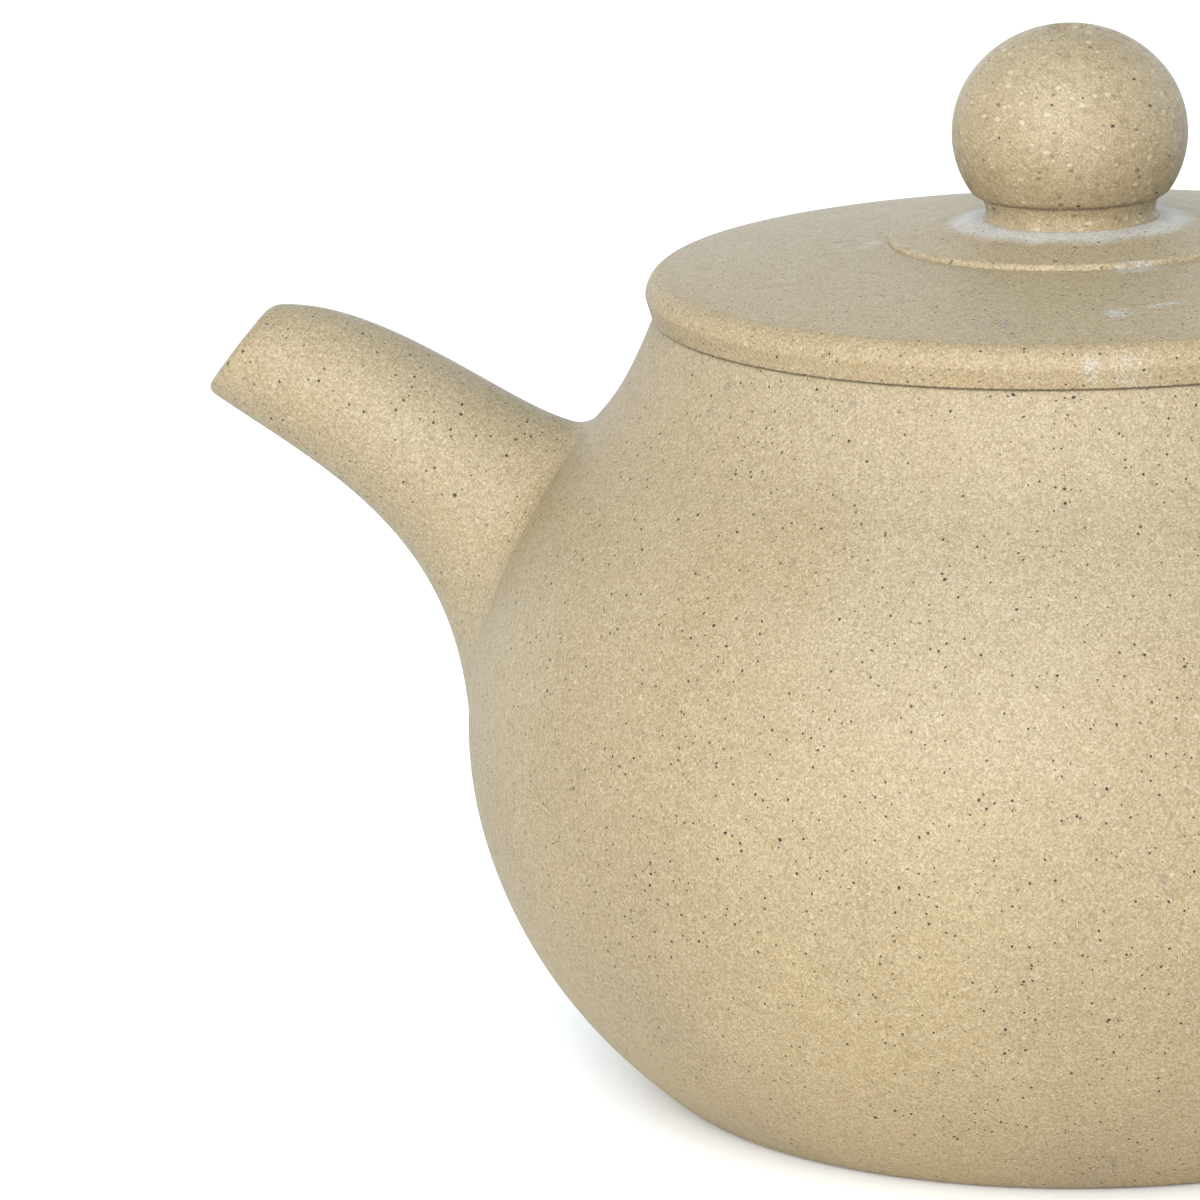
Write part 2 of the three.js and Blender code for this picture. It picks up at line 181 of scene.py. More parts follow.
def rounded(outline, corners, steps=7):
    """An open outline with the named corner points replaced by soft curves of the given reach."""
    outline = np.array(outline, float)
    length = np.concatenate([[0], np.cumsum(np.linalg.norm(np.diff(outline, axis=0), axis=1))])

    def at(distance):
        return np.array([np.interp(distance, length, outline[:, k]) for k in range(2)])

    pieces = []
    start = 0.0
    for corner, reach in sorted(corners, key=lambda c: length[c[0]]):
        low, high = length[corner] - reach, length[corner] + reach
        inside = (length > start + 1e-9) & (length < low - 1e-9)
        pieces.append(np.vstack([at(start)[None], outline[inside]]))
        a, b, c = at(low), outline[corner], at(high)
        t = np.linspace(0, 1, steps)[:, None]
        pieces.append(((1 - t) ** 2 * a + 2 * (1 - t) * t * b + t**2 * c)[:-1])
        start = high
    pieces.append(np.vstack([at(start)[None], outline[length > start + 1e-9]]))
    return np.vstack(pieces)


# The body's outside as a radius at a height: two ellipses that meet at the belly, and a hollow neck
LOWER_HALF = BELLY_HEIGHT / math.sqrt(1 - (BASE_RADIUS / BELLY_RADIUS) ** 2)
UPPER_HALF = SHOULDER_RISE / math.sqrt(1 - (SHOULDER_RADIUS / BELLY_RADIUS) ** 2)
SHOULDER_SLOPE = BELLY_RADIUS**2 * SHOULDER_RISE / (UPPER_HALF**2 * SHOULDER_RADIUS)
NECK = bezier(
    [
        (SHOULDER_RADIUS, SHOULDER_HEIGHT),
        (SHOULDER_RADIUS - SHOULDER_SLOPE * NECK_LOW_PULL, SHOULDER_HEIGHT + NECK_LOW_PULL),
        (NECK_RADIUS + NECK_TOP_SLOPE * NECK_HIGH_PULL, SEAT_HEIGHT - NECK_HIGH_PULL),
        (NECK_RADIUS, SEAT_HEIGHT),
    ],
    60,
)


def body_radius(z):
    z = np.asarray(z, float)
    half = np.where(z < BELLY_HEIGHT, LOWER_HALF, UPPER_HALF)
    belly = BELLY_RADIUS * np.sqrt(np.clip(1 - ((z - BELLY_HEIGHT) / half) ** 2, 0, 1))
    return np.where(z > SHOULDER_HEIGHT, np.interp(z, NECK[:, 1], NECK[:, 0]), belly)


def body_slope(z):
    return (body_radius(z + 0.05) - body_radius(z - 0.05)) / 0.1


def wobble(angle, z):
    """The hand-worked unevenness of the body's radius."""
    swell = 0.05 * np.sin(2 * angle + 0.6) + 0.03 * np.sin(3 * angle - 1.1 + z / 11)
    ripple = 0.022 * np.sin(5 * angle + z / 5.2) * np.sin(z / 3.6 + 0.8)
    return (swell + ripple) * smoothstep(0, 10, z) * smoothstep(SEAT_HEIGHT - 1, SEAT_HEIGHT - 12, z)


def height_over_body(points):
    """How far points lie outside the body's surface, measured along its normal."""
    radius = np.hypot(points[..., 0], points[..., 1])
    z = points[..., 2]
    surface = body_radius(z) + wobble(np.arctan2(points[..., 1], points[..., 0]), z)
    return (radius - surface) / np.hypot(1, body_slope(z))


def body_normal(points):
    radius = np.hypot(points[..., 0], points[..., 1])
    slope = body_slope(points[..., 2])
    normal = np.stack([points[..., 0] / radius, points[..., 1] / radius, -slope], -1)
    return normal / np.linalg.norm(normal, axis=-1, keepdims=True)


def on_body(points, lift=0.0):
    """Points moved onto the body's surface, or a lift above it."""
    for _ in range(4):
        points = points - (height_over_body(points) - lift)[..., None] * body_normal(points)
    return points


def make_mesh(name, vertices, faces, smooth=True):
    """A mesh object from points in millimetres."""
    mesh = bpy.data.meshes.new(name)
    mesh.from_pydata((np.asarray(vertices) * MM).tolist(), [], faces)
    mesh.validate()
    mesh.polygons.foreach_set("use_smooth", [smooth] * len(mesh.polygons))
    mesh.update()
    piece = bpy.data.objects.new(name, mesh)
    bpy.context.scene.collection.objects.link(piece)
    return piece


def turned(name, outline, closed, sides=TURNED_SIDES, uneven=None):
    """An outline of radius and height turned about Z. Ends on the axis close at a pole."""
    outline = np.asarray(outline, float)
    angles = np.linspace(0, 2 * math.pi, sides, endpoint=False)
    vertices = []
    rings = []
    for radius, z in outline:
        if radius < 1e-6:
            rings.append([len(vertices)])
            vertices.append((0, 0, z))
            continue
        rings.append(list(range(len(vertices), len(vertices) + sides)))
        spread = radius + (uneven(angles, radius, z) if uneven else 0)
        vertices.extend(zip(spread * np.cos(angles), spread * np.sin(angles), np.full(sides, z)))
    pairs = list(zip(rings, rings[1:]))
    if closed:
        pairs.append((rings[-1], rings[0]))
    faces = []
    for low, high in pairs:
        for i in range(sides):
            j = (i + 1) % sides
            if len(low) == 1:
                faces.append((low[0], high[j], high[i]))
            elif len(high) == 1:
                faces.append((low[i], low[j], high[0]))
            else:
                faces.append((low[i], low[j], high[j], high[i]))
    return make_mesh(name, vertices, faces)


def loft(name, rings, closed_along=False, caps=()):
    """Rings of equally many points joined into a skin. A cap is the middle point that closes an end."""
    rings = np.asarray(rings, float)
    count, sides = rings.shape[:2]
    vertices = rings.reshape(-1, 3).tolist()
    faces = []
    for k in range(count if closed_along else count - 1):
        low, high = k * sides, ((k + 1) % count) * sides
        for i in range(sides):
            j = (i + 1) % sides
            faces.append((low + i, high + i, high + j, low + j))
    for end, middle in zip((0, count - 1), caps):
        vertices.append(tuple(middle))
        for i in range(sides):
            j = (i + 1) % sides
            face = (end * sides + i, end * sides + j, len(vertices) - 1)
            faces.append(face if end == 0 else face[::-1])
    return make_mesh(name, vertices, faces)


def cut(piece, tool):
    """Cuts the tool out of the piece and removes the tool."""
    modifier = piece.modifiers.new("cut", "BOOLEAN")
    modifier.object = tool
    modifier.operation = "DIFFERENCE"
    modifier.solver = "EXACT"
    bpy.context.view_layer.update()
    baked = bpy.data.meshes.new_from_object(piece.evaluated_get(bpy.context.evaluated_depsgraph_get()))
    piece.modifiers.remove(modifier)
    piece.data = baked
    bpy.data.objects.remove(tool)
    baked.polygons.foreach_set("use_smooth", [True] * len(baked.polygons))
    return piece


def fix_normals(piece):
    """Turns every face to point out."""
    mesh = bmesh.new()
    mesh.from_mesh(piece.data)
    bmesh.ops.recalc_face_normals(mesh, faces=mesh.faces)
    mesh.to_mesh(piece.data)
    mesh.free()
    return piece


def root_on_body(lines, reach, steps=10, sink=0.05):
    """Ends each line of points, which runs into the body, in a soft fillet that lies down on its surface."""
    ended = []
    for line, radius in zip(lines, reach):
        beyond = line[-1] + (line[-1] - line[-2]) / np.linalg.norm(line[-1] - line[-2]) * 12
        line = np.vstack([line, np.linspace(line[-1], beyond, 60)[1:]])
        over = height_over_body(line)
        inside = int(np.argmax(over < 0))
        share = over[inside - 1] / (over[inside - 1] - over[inside])
        crossing = line[inside - 1] + share * (line[inside] - line[inside - 1])
        outer = np.vstack([line[:inside], crossing])
        length = np.concatenate([[0], np.cumsum(np.linalg.norm(np.diff(outer, axis=0), axis=1))])
        keep = length[-1] - radius
        start = np.array([np.interp(keep, length, outer[:, k]) for k in range(3)])
        heading = crossing - start
        normal = body_normal(crossing)
        heading -= normal * heading.dot(normal)
        heading /= np.linalg.norm(heading)
        end = on_body(crossing + heading * radius, -sink)
        t = np.linspace(0, 1, steps + 1)[1:, None]
        curve = (1 - t) ** 2 * start + 2 * (1 - t) * t * crossing + t**2 * end
        ended.append((outer, length, keep, curve))
    return ended


def resampled(outer, length, keep, count, first=0.0):
    distance = np.linspace(first, keep, count)
    return np.column_stack([np.interp(distance, length, outer[:, k]) for k in range(3)])


# The spout's upper and lower outlines in its own plane, as distance from the axis and height
SPOUT_TOP = bezier(
    [
        (REACH - LIP_SETBACK, LIP_HEIGHT),
        (REACH - LIP_SETBACK - LIP_SWEEP, LIP_HEIGHT + CREST_LIFT),
        (SHOULDER_RADIUS + ROOT_STANDOFF + SHOULDER_SWEEP, SADDLE_HEIGHT + SADDLE_LIFT),
        (SHOULDER_RADIUS + ROOT_STANDOFF, SADDLE_HEIGHT),
    ],
    161,
)
SPOUT_BOTTOM = bezier(
    [
        (REACH, LIP_HEIGHT - LIP_CUT),
        (REACH - THROAT_SWEEP, LIP_HEIGHT - LIP_CUT - THROAT_DROP),
        (BELLY_RADIUS + ROOT_STANDOFF + BREAST_OUT, BELLY_HEIGHT + BREAST_RISE),
        (BELLY_RADIUS + ROOT_STANDOFF, BELLY_HEIGHT),
    ],
    161,
)
SPOUT_STEPS = np.linspace(0, 1, len(SPOUT_TOP))
SPOUT_SIDES = 96


def spout_section(t):
    """The upper and lower end of the section at a place along the spout: 0 is the lip, 1 the wall."""
    ends = []
    for curve in (SPOUT_TOP, SPOUT_BOTTOM):
        s = np.interp(min(t, 1), SPOUT_STEPS, curve[:, 0]) - max(0, t - 1) * ROOT_DEPTH
        ends.append(np.array([-s, 0, np.interp(min(t, 1), SPOUT_STEPS, curve[:, 1])]))
    return ends


def spout_ring(t, thinning=0.0):
    top, bottom = spout_section(t)
    middle = (top + bottom) / 2
    across = top - bottom
    half = np.linalg.norm(across) / 2 - thinning
    across /= np.linalg.norm(across)
    width = half * (1 - (1 - ROOT_FLATTENING) * smoothstep(0.5, 1, t))
    angle = np.linspace(0, 2 * math.pi, SPOUT_SIDES, endpoint=False)[:, None]
    return middle + across * half * np.cos(angle) + np.array([0, 1, 0]) * width * np.sin(angle)


def spout_middle(t):
    top, bottom = spout_section(t)
    return (top + bottom) / 2


def port_frame():
    """The middle of the port on the body's surface, its upward direction and its inward direction."""
    places = np.linspace(0.3, 1, 701)
    over = height_over_body(np.array([spout_middle(t) for t in places]))
    t = places[int(np.argmax(over < 0))]
    top, bottom = spout_section(t)
    up = (top - bottom) / np.linalg.norm(top - bottom)
    return t, (top + bottom) / 2, up, np.array([up[2], 0, -up[0]])


PORT_PLACE, PORT_MIDDLE, PORT_UP, PORT_IN = port_frame()


def circle_about(middle, up, radius, sides):
    angle = np.linspace(0, 2 * math.pi, sides, endpoint=False)[:, None]
    return middle + up * radius * np.cos(angle) + np.array([0, 1, 0]) * radius * np.sin(angle)


def make_spout():
    lip = 0.0
    places = np.concatenate([np.linspace(lip, 1, 200), np.linspace(1, 3, 60)[1:]])
    grid = np.array([spout_ring(t) for t in places])
    lines = grid.transpose(1, 0, 2)
    angle = np.linspace(0, 2 * math.pi, SPOUT_SIDES, endpoint=False)
    underside = (1 - np.cos(angle)) / 2
    fillet = UPPER_FILLET + (LOWER_FILLET - UPPER_FILLET) * smoothstep(0, 0.6, underside)
    rooted = root_on_body(lines, fillet)
    outside = [np.vstack([resampled(o, s, k, 90, LIP_ROUND), c]) for o, s, k, c in rooted]
    outside = np.array(outside).transpose(1, 0, 2)
    bore_places = np.linspace(0.03, PORT_PLACE - PORT_BLEND, 40)
    bore = [spout_ring(t, LIP_WALL + (SPOUT_WALL - LIP_WALL) * min(1, t * 3)) for t in bore_places]
    bore.append(circle_about(PORT_MIDDLE + PORT_IN * 0.2, PORT_UP, PORT_RADIUS, SPOUT_SIDES))
    bore.append(circle_about(PORT_MIDDLE + PORT_IN * 1.0, PORT_UP, PORT_RADIUS, SPOUT_SIDES))
    corner = spout_ring(lip)
    brow = spout_ring(lip, LIP_ROUND)
    inner_brow = spout_ring(lip, LIP_WALL - LIP_ROUND / 2)
    steps = np.linspace(0, 1, 9)[:, None, None]
    outer_edge = (1 - steps) ** 2 * brow + 2 * (1 - steps) * steps * corner + steps**2 * outside[0]
    inner_corner = spout_ring(lip, LIP_WALL)
    inner_edge = (1 - steps) ** 2 * bore[0] + 2 * (1 - steps) * steps * inner_corner + steps**2 * inner_brow
    rings = np.vstack([np.array(bore[:0:-1]), inner_edge, outer_edge[:-1], outside])
    return fix_normals(loft("spout_clay", rings, closed_along=True))


def make_body():
    band_inside = BASE_RADIUS - REST_BAND
    foot = [(0, HOLLOW_DEPTH), (band_inside - HOLLOW_SLOPE, HOLLOW_DEPTH), (band_inside, 0), (BASE_RADIUS, 0)]
    start = math.degrees(math.asin(-BELLY_HEIGHT / LOWER_HALF))
    end = math.degrees(math.asin(SHOULDER_RISE / UPPER_HALF))
    low = ellipse_arc((0, BELLY_HEIGHT), (BELLY_RADIUS, LOWER_HALF), start, 0, 60)[1:]
    high = ellipse_arc((0, BELLY_HEIGHT), (BELLY_RADIUS, UPPER_HALF), 0, end, 50)[1:]
    outside = np.vstack([foot, low, high, NECK[1:]])
    seat = len(outside) - 1
    inner_heights = np.linspace(RING_FOOT, BASE_THICKNESS, 50)
    inner = body_radius(inner_heights) - WALL * np.hypot(1, body_slope(inner_heights))
    mouth = [(MOUTH_RADIUS, SEAT_HEIGHT), (MOUTH_RADIUS, RING_FOOT)]
    outline = np.vstack([outside, mouth, np.column_stack([inner, inner_heights]), [(0, BASE_THICKNESS)]])
    inner_foot = len(outline) - 2
    corners = [(1, 1.5), (2, 0.8), (3, 0.8), (seat, 0.2), (seat + 1, 0.4), (seat + 2, 0.4), (inner_foot, 3.0)]
    outline = rounded(outline, corners)

    def uneven(angles, radius, z):
        return wobble(angles, z) if radius > 20 else 0

    piece = fix_normals(turned("pot_body", outline, closed=False, uneven=uneven))
    drill_ends = [PORT_MIDDLE + PORT_IN * depth for depth in (-4.0, 9.0)]
    port = [circle_about(end, PORT_UP, PORT_RADIUS + PORT_PLAY, 72) for end in drill_ends]
    drill = loft("port_drill", port, caps=drill_ends)
    return cut(piece, fix_normals(drill))


def make_strainer():
    """A pierced dome over the port, sunk a little into the wall."""
    outer = ellipse_arc((0, 0), (STRAINER_RADIUS, STRAINER_RADIUS), 0, 90, 32)
    inner = ellipse_arc((0, 0), (STRAINER_RADIUS - STRAINER_WALL,) * 2, 90, 0, 28)
    rim = [(STRAINER_RADIUS - STRAINER_WALL, -STRAINER_SINK), (STRAINER_RADIUS, -STRAINER_SINK)]
    outer[-1, 0] = inner[0, 0] = 0
    dome = fix_normals(turned("strainer_clay", np.vstack([inner, rim, outer]), closed=False, sides=96))
    towards = Vector(PORT_IN.tolist())
    place = Matrix.Translation(Vector((PORT_MIDDLE + PORT_IN * WALL) * MM))
    place = place @ towards.to_track_quat("Z", "Y").to_matrix().to_4x4()
    leans = [(0.0, 0.0)]
    for count, lean in STRAINER_RINGS:
        leans += [(math.radians(lean), 2 * math.pi * (i + 0.5) / count) for i in range(count)]
    sides = 20
    vertices = []
    faces = []
    for lean, turn in leans:
        axis = np.array([math.sin(lean) * math.cos(turn), math.sin(lean) * math.sin(turn), math.cos(lean)])
        side = np.cross(axis, (0.3, 0.9, 0.1))
        side /= np.linalg.norm(side)
        other = np.cross(axis, side)
        angle = np.linspace(0, 2 * math.pi, sides, endpoint=False)[:, None]
        ring = STRAINER_HOLE * (side * np.cos(angle) + other * np.sin(angle))
        low = len(vertices)
        high = low + sides
        vertices += (ring + axis * 4.5).tolist() + (ring + axis * 11).tolist()
        for i in range(sides):
            j = (i + 1) % sides
            faces.append((low + i, low + j, high + j, high + i))
        faces += [tuple(range(high - 1, low - 1, -1)), tuple(range(high, high + sides))]
    pins = fix_normals(make_mesh("strainer_pins", vertices, faces, smooth=False))
    cut(dome, pins)
    dome.data.transform(place)
    dome.data.update()
    return dome


def handle_path(count=600):
    """Even points along the handle's middle line, from inside the shoulder to inside the lower belly."""
    start = np.array([float(body_radius(HANDLE_TOP_JOINT)), HANDLE_TOP_JOINT])
    end = np.array([float(body_radius(HANDLE_FOOT_JOINT)), HANDLE_FOOT_JOINT])
    half_thickness = HANDLE_THICKNESS / 2 * (1 + HANDLE_TAPER) / 2
    widest = np.array([REACH - half_thickness, HANDLE_TOP_JOINT - HANDLE_WIDEST_DROP])
    tuck = np.array(HANDLE_TUCK)
    brow = widest + (0, HANDLE_WIDEST_DROP + HANDLE_BROW)
    back = widest - (0, HANDLE_BACK_PULL)
    pieces = [
        np.linspace(start - tuck, start, 20)[:-1],
        bezier([start, start + (HANDLE_TOP_SWEEP, HANDLE_RISE), brow, widest], 200)[:-1],
        bezier([widest, back, end + (HANDLE_FOOT_SWEEP, HANDLE_FOOT_LIFT), end], 200)[:-1],
        np.linspace(end, end - tuck, 20),
    ]
    line = np.vstack(pieces)
    length = np.concatenate([[0], np.cumsum(np.linalg.norm(np.diff(line, axis=0), axis=1))])
    even = np.linspace(0, length[-1], count)
    return np.column_stack([np.interp(even, length, line[:, k]) for k in range(2)])


def make_handle():
    path = handle_path()
    along = np.gradient(path, axis=0)
    kernel = np.hanning(25) / np.hanning(25).sum()
    padded = [np.pad(along[:, k], len(kernel) // 2, "edge") for k in range(2)]
    along = np.column_stack([np.convolve(line, kernel, "valid") for line in padded])
    along /= np.linalg.norm(along, axis=1, keepdims=True)
    share = np.linspace(0, 1, len(path))
    flare = 1 - smoothstep(0.02, 0.2, np.minimum(share, 1 - share))
    size = (1 - (1 - HANDLE_TAPER) * share) * (1 + HANDLE_FLARE * flare)
    sides = 64
    angle = np.linspace(0, 2 * math.pi, sides, endpoint=False)
    out = np.column_stack([-along[:, 1], along[:, 0]])
    high = np.cos(angle)[None] * (HANDLE_THICKNESS / 2 * size)[:, None]
    wide = np.sin(angle)[None] * (HANDLE_WIDTH / 2 * size)[:, None]
    x = path[:, 0, None] + out[:, 0, None] * high
    z = path[:, 1, None] + out[:, 1, None] * high
    lines = np.stack([x, wide, z], -1).transpose(1, 0, 2)
    middle = len(path) // 2
    fillet = np.full(sides, HANDLE_FILLET)
    upper = root_on_body(lines[:, middle::-1], fillet)
    lower = root_on_body(lines[:, middle:], fillet)
    rings = []
    for (o, s, k, c), (o2, s2, k2, c2) in zip(upper, lower):
        first = np.vstack([resampled(o, s, k, 70), c])[::-1]
        second = np.vstack([resampled(o2, s2, k2, 80), c2])
        rings.append(np.vstack([first, second[1:]]))
    rings = np.array(rings).transpose(1, 0, 2)
    caps = [on_body(rings[0].mean(0), -1.2), on_body(rings[-1].mean(0), -1.2)]
    return fix_normals(loft("handle_clay", rings, caps=caps))


def make_lid_disc():
    edge_height = SEAT_HEIGHT + LID_RIM_LOW
    foot = (LID_RADIUS - LID_UNDERCUT, SEAT_HEIGHT)
    high = ellipse_arc((LID_RADIUS - LID_RIM_ROUND, edge_height), (LID_RIM_ROUND, LID_RIM_HIGH), 4, 81, 20)
    middle = [(radius, RIM_TOP + rise) for radius, rise in (LID_CROWN_OUTER, LID_CROWN_INNER)]
    crown = bezier([high[-1], *middle, (PAD_RADIUS - 1, PAD_SEAT + PAD_LAP)], 40)
    under = [(VENT_RADIUS, PAD_SEAT - LID_SLAB), (FLANGE_OUTSIDE - FLANGE_WALL, SEAT_HEIGHT)]
    outline = np.vstack([under, foot, high, crown[1:], [(VENT_RADIUS, PAD_SEAT + PAD_LAP)]])
    outline = rounded(outline, [(2, 0.12), (3, 0.12)])
    return fix_normals(turned("lid_disc_clay", outline, closed=True))


def make_lid_flange():
    foot = SEAT_HEIGHT - FLANGE_DEPTH
    inside = FLANGE_OUTSIDE - FLANGE_WALL
    top = SEAT_HEIGHT + 0.15
    outline = [(inside, top), (inside, foot), (FLANGE_OUTSIDE, foot), (FLANGE_OUTSIDE, top)]
    outline = rounded(outline, [(1, 0.5), (2, 0.8)])
    return fix_normals(turned("lid_flange_clay", outline, closed=True))


def make_lid_pad():
    """A low raised disc with a crisp edge, swept up to the collar's foot."""
    edge = [(PAD_RADIUS + 0.14, PAD_SEAT + 0.1), (PAD_RADIUS - 0.04, PAD_SEAT + 0.4)]
    crown = bezier(
        [
            (PAD_RADIUS - 0.35, PAD_SEAT + 0.46),
            (PAD_RADIUS - 2.2, PAD_SEAT + 0.72),
            (COLLAR_RADIUS + 2.8, COLLAR_SEAT - 0.4),
            (COLLAR_RADIUS + 0.2, COLLAR_SEAT),
        ],
        24,
    )
    foot = (PAD_RADIUS + 0.14, PAD_SEAT - 0.15)
    under = (VENT_RADIUS, PAD_SEAT - 0.15)
    outline = np.vstack([under, foot, edge, crown, (VENT_RADIUS, COLLAR_SEAT)])
    return fix_normals(turned("lid_pad_clay", rounded(outline, [(3, 0.12)]), closed=True))


def make_collar():
    outline = [
        (VENT_RADIUS, COLLAR_SEAT - 0.1),
        (COLLAR_RADIUS + 0.34, COLLAR_SEAT - 0.1),
        (COLLAR_RADIUS + 0.08, COLLAR_SEAT + 0.12),
        (COLLAR_RADIUS - 0.04, COLLAR_SEAT + 0.5),
        (COLLAR_RADIUS, COLLAR_SEAT + 1.0),
        (COLLAR_RADIUS + 0.14, COLLAR_SEAT + 1.35),
        (COLLAR_RADIUS + COLLAR_FLARE, KNOB_SEAT),
        (COLLAR_RADIUS + COLLAR_FLARE - 0.3, KNOB_SEAT + 0.2),
        (VENT_RADIUS, KNOB_SEAT + 0.2),
    ]
    return fix_normals(turned("knob_collar_clay", rounded(outline, [(6, 0.16)]), closed=True))


def make_knob():
    start = math.degrees(math.asin((KNOB_SEAT - KNOB_CENTRE) / KNOB_HALF_HEIGHT))
    end = math.degrees(math.acos((VENT_RADIUS + VENT_FLARE) / KNOB_RADIUS))
    skin = ellipse_arc((0, KNOB_CENTRE), (KNOB_RADIUS, KNOB_HALF_HEIGHT), start, end, 90)
    inner_top = skin[-1][1] - 0.9
    outline = np.vstack([[(VENT_RADIUS, KNOB_SEAT)], skin, [(VENT_RADIUS, inner_top)]])
    corners = [(1, 0.55), (len(outline) - 2, 0.4)]
    return fix_normals(turned("knob_ball_clay", rounded(outline, corners, 10), closed=True, sides=192))


class Nodes:
    """Short calls for building a shader. A pattern of a size in millimetres has the scale 1000 / size."""

    def __init__(self, tree):
        self.tree = tree
        tree.nodes.clear()

    def add(self, kind, settings=None, **inputs):
        node = self.tree.nodes.new(kind)
        for key, value in (settings or {}).items():
            setattr(node, key, value)
        for key, value in inputs.items():
            self.feed(node, key.replace("_", " "), value)
        return node

    def feed(self, node, socket, value):
        """Sets or links an input, given by its label or by its number, as i0."""
        if socket[0] == "i" and socket[1:].isdigit():
            socket = int(socket[1:])
        target = node.inputs[socket]
        if isinstance(value, bpy.types.NodeSocket):
            self.tree.links.new(value, target)
        else:
            target.default_value = value

    def math(self, operation, a, b=0.0, clamp=False):
        node = self.add("ShaderNodeMath", {"operation": operation, "use_clamp": clamp}, i0=a, i1=b)
        return node.outputs[0]

    def scaled(self, value, gain, offset):
        node = self.add("ShaderNodeMath", {"operation": "MULTIPLY_ADD"}, i0=value, i1=gain, i2=offset)
        return node.outputs[0]

    def mix(self, share, a, b, blend="MIX"):
        node = self.add("ShaderNodeMix", {"data_type": "RGBA", "blend_type": blend}, i0=share, i6=a, i7=b)
        return node.outputs[2]

    def ramp(self, value, low, high):
        node = self.add("ShaderNodeMapRange", {"interpolation_type": "SMOOTHSTEP"}, i0=value, i1=low, i2=high)
        return node.outputs[0]

    def noise(self, place, size, detail=2.0, rough=0.5):
        """Noise whose features are about the given size in millimetres."""
        inputs = {"Vector": place, "Scale": 1000 / size, "Detail": detail, "Roughness": rough}
        return self.add("ShaderNodeTexNoise", None, **inputs).outputs[0]

    def warped(self, place, size, reach):
        """A place shifted at random by up to about the reach in millimetres, which makes grains ragged."""
        noise = self.add("ShaderNodeTexNoise", None, Vector=place, Scale=1000 / size, Detail=1.0)
        inputs = {"i0": noise.outputs["Color"], "i1": (0.5,) * 3}
        shift = self.add("ShaderNodeVectorMath", {"operation": "SUBTRACT"}, **inputs)
        scale = (2 * reach * MM,) * 3
        moved = {"i0": shift.outputs[0], "i1": scale, "i2": place}
        return self.add("ShaderNodeVectorMath", {"operation": "MULTIPLY_ADD"}, **moved).outputs[0]

    def cells(self, place, spacing):
        """The distance to the nearest of scattered points, and three random values for its cell."""
        node = self.add("ShaderNodeTexVoronoi", None, Vector=place, Scale=1000 / spacing)
        chance = self.add("ShaderNodeSeparateColor", None, i0=node.outputs["Color"]).outputs
        return node.outputs["Distance"], chance

    def grains(self, place, spacing, radius, share):
        """Grains: their mean spacing and largest radius in millimetres, and the share of cells with one."""
        distance, chance = self.cells(place, spacing)
        reach = self.scaled(chance[0], 0.6 * radius / spacing, 0.4 * radius / spacing)
        inside = self.ramp(self.math("SUBTRACT", reach, distance), 0.0, 0.22 * radius / spacing)
        return self.math("MULTIPLY", inside, self.math("LESS_THAN", chance[1], share))


FULL_LIGHT = 2.9


def rgb(r, g, b):
    """The reflectance of clay that looks like this sRGB colour, 0 to 255, in the full light of the studio."""
    return (*(((c / 255 + 0.055) / 1.055) ** 2.4 / FULL_LIGHT for c in (r, g, b)), 1.0)


CLAY = {
    # low is the warmer colour towards the foot, high the greyer colour above it, a painted sheen
    "high": rgb(213, 192, 152),
    "low": rgb(226, 195, 138),
    "deep": rgb(206, 180, 134),
    # The lid's warmer tone, and the paler, greyer painted sheen on its top
    "lid_warm": rgb(215, 185, 134),
    "painted_sheen": rgb(223, 199, 156),
    "brown": rgb(152, 128, 84),
    "tan": rgb(166, 142, 96),
    "salt": rgb(248, 232, 196),
    "cream": rgb(252, 234, 200),
    "iron": rgb(22, 22, 24),
    "smoke": rgb(128, 126, 122),
    "rust": rgb(118, 70, 44),
    "joint": rgb(128, 98, 58),
    # Painted shade along the seam where the lid's rim lies on the mouth
    "seam": rgb(62, 42, 24),
    "powder": rgb(255, 255, 253),
    # White powder with painted light: brighter than white clay in full light, against the knob's shade
    "dust_and_painted_light": (0.5, 0.51, 0.5, 1.0),
    "lilac": rgb(178, 158, 168),
}

# Grains in the clay: spacing and largest radius in millimetres, share of places with one, strength, colour
FINE_GRAINS = [
    (0.50, 0.15, 0.70, 0.45, "salt"),
    (1.30, 0.24, 0.50, 0.50, "cream"),
    (3.20, 0.40, 0.40, 0.30, "smoke"),
    (1.50, 0.16, 0.40, 0.55, "rust"),
    (0.58, 0.12, 0.72, 0.95, "iron"),
    (1.40, 0.16, 0.50, 0.95, "iron"),
]
KNOB_GRAINS = [
    (0.55, 0.17, 0.65, 0.45, "salt"),
    (0.90, 0.30, 0.65, 0.75, "cream"),
    (1.10, 0.26, 0.60, 0.62, "rust"),
    (1.30, 0.20, 0.50, 0.90, "iron"),
]


# Sizes of the clay's patterns, and the heights between which its colour turns from warm below to greyer above
# as a painted sheen, in millimetres
SHEEN_TINT_HEIGHTS = (10, 46)
CLOUD_SIZE = 18
MOTTLE_SIZE = 0.8
GRIT_SIZE = 0.16
SHADE_SIZE = 0.14
PEEL_SIZE = 0.9
RELIEF = 0.06


